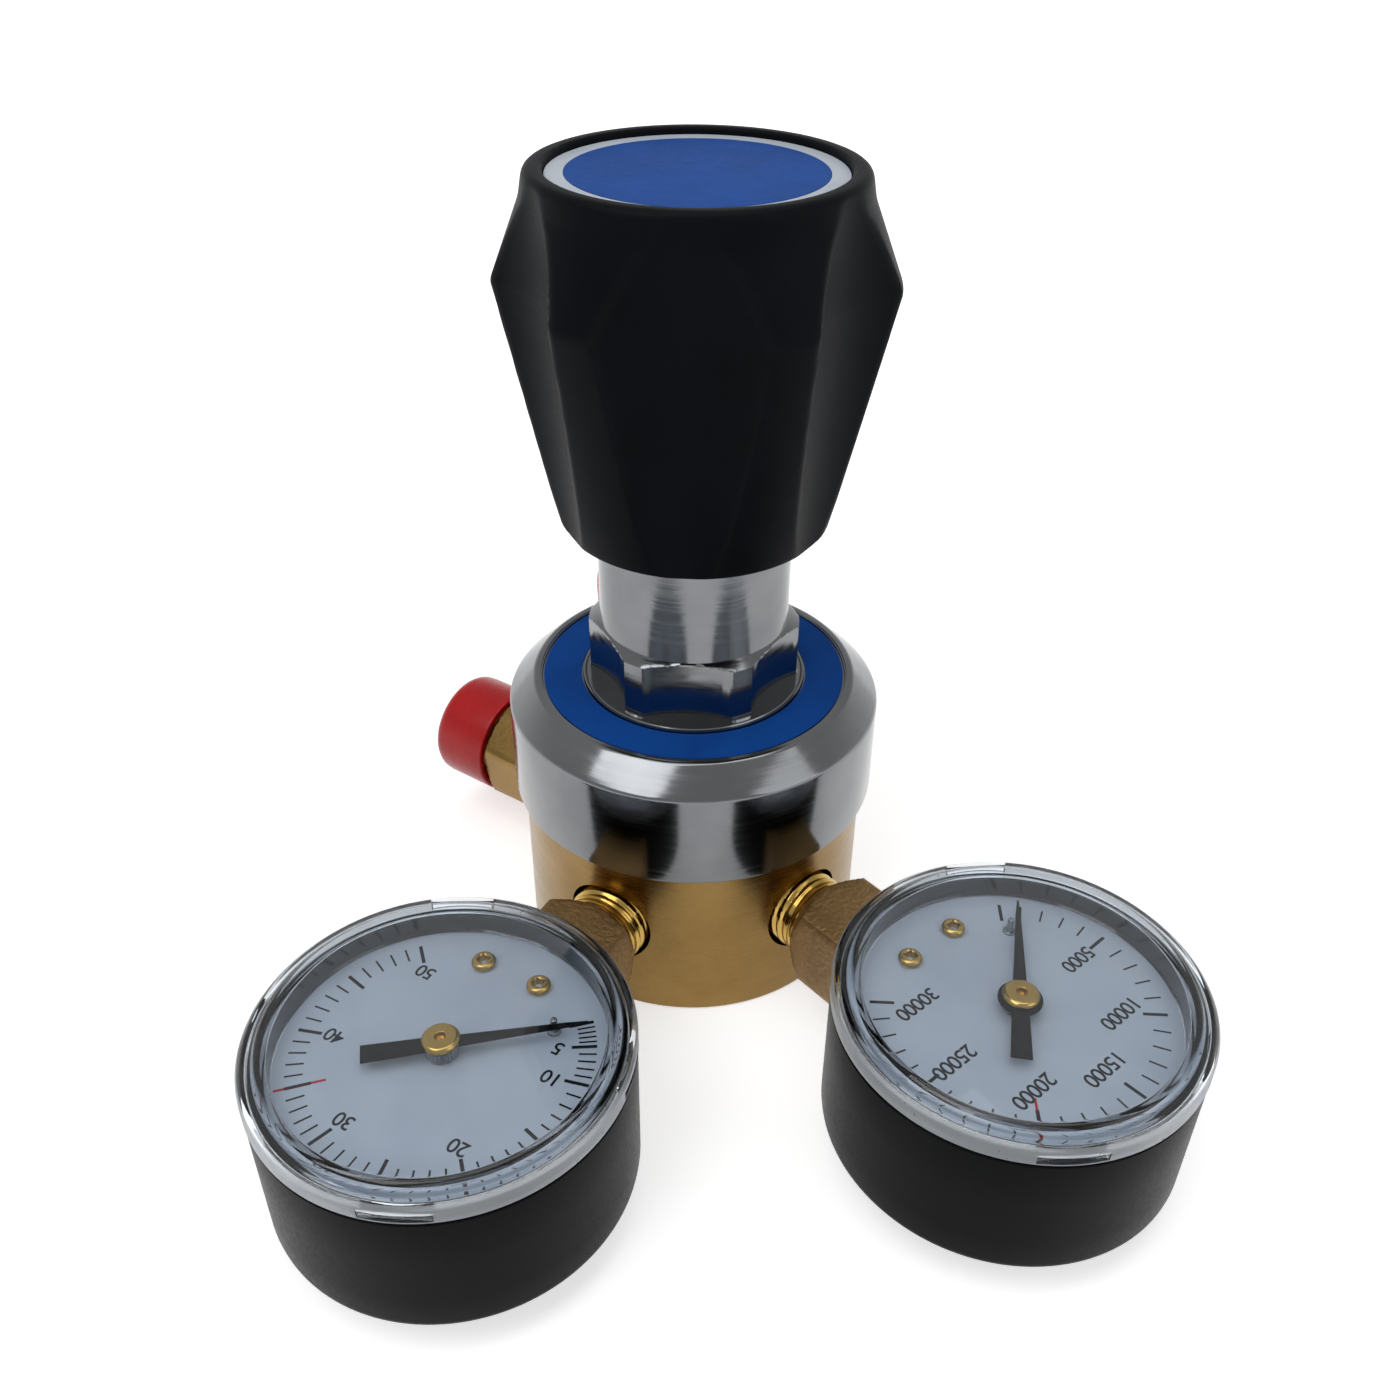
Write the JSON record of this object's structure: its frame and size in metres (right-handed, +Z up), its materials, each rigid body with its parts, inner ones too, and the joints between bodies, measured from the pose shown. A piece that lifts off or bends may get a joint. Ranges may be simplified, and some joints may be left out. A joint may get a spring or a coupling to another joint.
{
  "type": "gas pressure regulator with gauges",
  "caption": "Gas pressure regulator: brass body, chrome bonnet, black fluted knob, round flow and contents gauges in front, capped inlet and outlet behind",
  "frame": {"origin": "centre of the brass body's flat base, on the knob's axis", "axes": "+Z up along the knob's axis, -Y to the front between the gauges, +X to the right"},
  "size_m": [0.1304, 0.1681, 0.1263],
  "materials": {
    "steel": "zinc plated",
    "brass": "machined brass",
    "chrome": "polished chrome plate",
    "label_blue": "royal blue label",
    "case_black": "black paint",
    "dial_white": "printed enamel",
    "lens_clear": "clear moulded plastic",
    "pointer_black": "black",
    "rubber": "black rubber",
    "aluminium": "turned",
    "cap_red": "bright red",
    "knob_black": "satin black",
    "nylon": "nylon"
  },
  "bodies": {
    "regulator": {"body": "brass", "bonnet": "chrome", "bonnet_label": "label_blue", "contents_back_screw_a": "steel", "contents_back_screw_b": "steel", "contents_bourdon_tube": "brass", "contents_case": "case_black", "contents_dial": "dial_white", "contents_dial_screw_a": "brass", "contents_dial_screw_b": "brass", "contents_hairspring": "brass", "contents_lens": "lens_clear", "contents_movement": "brass", "contents_socket": "brass", "contents_stop_pin": "steel", "diaphragm": "rubber", "flow_back_screw_a": "steel", "flow_back_screw_b": "steel", "flow_bourdon_tube": "brass", "flow_case": "case_black", "flow_dial": "dial_white", "flow_dial_screw_a": "brass", "flow_dial_screw_b": "brass", "flow_hairspring": "brass", "flow_lens": "lens_clear", "flow_movement": "brass", "flow_socket": "brass", "flow_stop_pin": "steel", "inlet_filter": "brass", "inlet_o_ring": "rubber", "inlet_stem": "brass", "main_spring": "steel", "nozzle_cage": "brass", "outlet_fitting": "brass", "slip_ring": "steel", "valve_spring": "steel"},
    "button": {"spring_button": "steel", "thrust_ball": "steel"},
    "knob": {"knob": "knob_black", "knob_label": "label_blue", "adjusting_screw": "steel"},
    "plate": {"diaphragm_plate": "aluminium"},
    "valve": {"valve_poppet": "brass", "valve_seat": "nylon"},
    "inlet_nut": {"inlet_nut": "brass"},
    "inlet_cap": {"inlet_cap": "cap_red"},
    "outlet_cap": {"outlet_cap": "cap_red"},
    "flow_pointer": {"flow_pointer": "pointer_black", "flow_pointer_hub": "brass", "flow_arbor": "brass"},
    "flow_sector": {"flow_sector": "brass"},
    "flow_link": {"flow_link": "steel"},
    "contents_pointer": {"contents_pointer": "pointer_black", "contents_pointer_hub": "brass", "contents_arbor": "brass"},
    "contents_sector": {"contents_sector": "brass"},
    "contents_link": {"contents_link": "steel"}
  },
  "joints": [
    {"name": "screw_travel", "type": "slide", "parent": "regulator", "child": "button", "axis": [0, 0, -1], "range_m": [0, 0.008], "deforming": ["main_spring"]},
    {"name": "knob_turn", "type": "hinge", "parent": "button", "child": "knob", "pos_m": [0, 0, 0.1], "axis": [0, 0, -1], "range_deg": [0, 1440]},
    {"name": "plate_slide", "type": "slide", "parent": "regulator", "child": "plate", "axis": [0, 0, -1], "range_m": [0, 0.0008], "stiffness_N_per_m": 2000, "deforming": ["diaphragm"]},
    {"name": "valve_slide", "type": "slide", "parent": "regulator", "child": "valve", "axis": [0, 0, -1], "range_m": [0, 0.0008], "deforming": ["valve_spring"]},
    {"name": "flow_pointer_turn", "type": "hinge", "parent": "regulator", "child": "flow_pointer", "pos_m": [-0.03925, -0.05711, 0.03], "axis": [0, 0, -1], "range_deg": [0, 265], "deforming": ["flow_hairspring"]},
    {"name": "flow_sector_turn", "type": "hinge", "parent": "regulator", "child": "flow_sector", "pos_m": [-0.03471, -0.06663, 0.0223], "axis": [0, 0, -1], "range_deg": [-44.17, 0]},
    {"name": "flow_link_slide", "type": "slide", "parent": "regulator", "child": "flow_link", "axis": [0.8943, 0.4475, 0], "range_m": [0, 0.00301], "stiffness_N_per_m": 45, "deforming": ["flow_bourdon_tube"]},
    {"name": "contents_pointer_turn", "type": "hinge", "parent": "regulator", "child": "contents_pointer", "pos_m": [0.03925, -0.05711, 0.03], "axis": [0, 0, -1], "range_deg": [0, 265], "deforming": ["contents_hairspring"]},
    {"name": "contents_sector_turn", "type": "hinge", "parent": "regulator", "child": "contents_sector", "pos_m": [0.04977, -0.05628, 0.0223], "axis": [0, 0, -1], "range_deg": [-44.17, 0]},
    {"name": "contents_link_slide", "type": "slide", "parent": "regulator", "child": "contents_link", "axis": [-0.0973, 0.9953, 0], "range_m": [0, 0.00301], "stiffness_N_per_m": 45, "deforming": ["contents_bourdon_tube"]},
    {"name": "nut_swivel", "type": "hinge", "parent": "regulator", "child": "inlet_nut", "pos_m": [0, 0.05, 0.0163], "axis": [0, 1, 0], "continuous": true},
    {"name": "inlet_cap_slide", "type": "slide", "parent": "inlet_nut", "child": "inlet_cap", "axis": [0, 1, 0], "range_m": [0, 0.03]},
    {"name": "outlet_cap_slide", "type": "slide", "parent": "regulator", "child": "outlet_cap", "axis": [-0.7627, 0.6468, 0], "range_m": [0, 0.02]}
  ],
  "couplings": [
    {"joint": "knob_turn", "follows": "screw_travel", "rad_per_m": 3141.6},
    {"joint": "valve_slide", "follows": "plate_slide", "ratio": 1},
    {"joint": "flow_pointer_turn", "follows": "flow_link_slide", "rad_per_m": 1537.5},
    {"joint": "flow_sector_turn", "follows": "flow_link_slide", "rad_per_m": -256.25},
    {"joint": "contents_pointer_turn", "follows": "contents_link_slide", "rad_per_m": 1537.5},
    {"joint": "contents_sector_turn", "follows": "contents_link_slide", "rad_per_m": -256.25}
  ]
}
